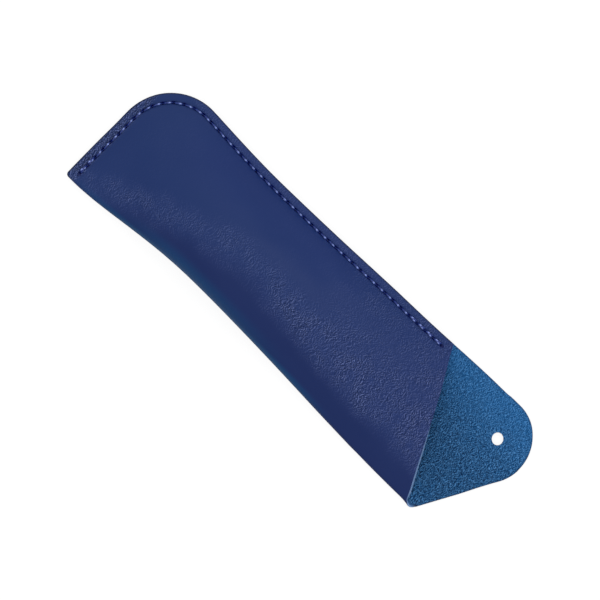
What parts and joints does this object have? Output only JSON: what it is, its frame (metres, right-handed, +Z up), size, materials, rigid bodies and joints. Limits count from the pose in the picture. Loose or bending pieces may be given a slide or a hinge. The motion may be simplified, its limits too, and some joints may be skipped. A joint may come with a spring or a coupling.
{
  "type": "leather pen case",
  "caption": "Slim leather pen sleeve, folded from one blank and sewn on an end and a side, with a slanted mouth and a rounded suede tongue with a hanging hole.",
  "frame": {"origin": "middle of the bounding box's bottom face, on the surface that the back of the case lies on", "axes": "+X along the case, from the sewn closed end towards the tip of the tongue; +Y towards the sewn long edge; +Z up, from the back to the front"},
  "size_m": [0.165, 0.0465, 0.0156],
  "materials": {
    "grain_leather": "navy pebbled grain side, semi-matt",
    "suede": "blue napped flesh side, matt",
    "thread": "twisted blue-violet sewing thread"
  },
  "bodies": {
    "sleeve": {"front_panel": "grain_leather", "back_panel": "grain_leather", "needle_thread": "thread", "bobbin_thread": "thread"},
    "tongue": {"tongue": "suede"}
  },
  "joints": [
    {"name": "tongue_bend", "type": "hinge", "parent": "sleeve", "child": "tongue", "pos_m": [0.05639, 0.00107, 0.0012], "axis": [0.461, -0.8874, 0], "range_deg": [0, 90], "stiffness_Nm_per_rad": 0.02}
  ]
}
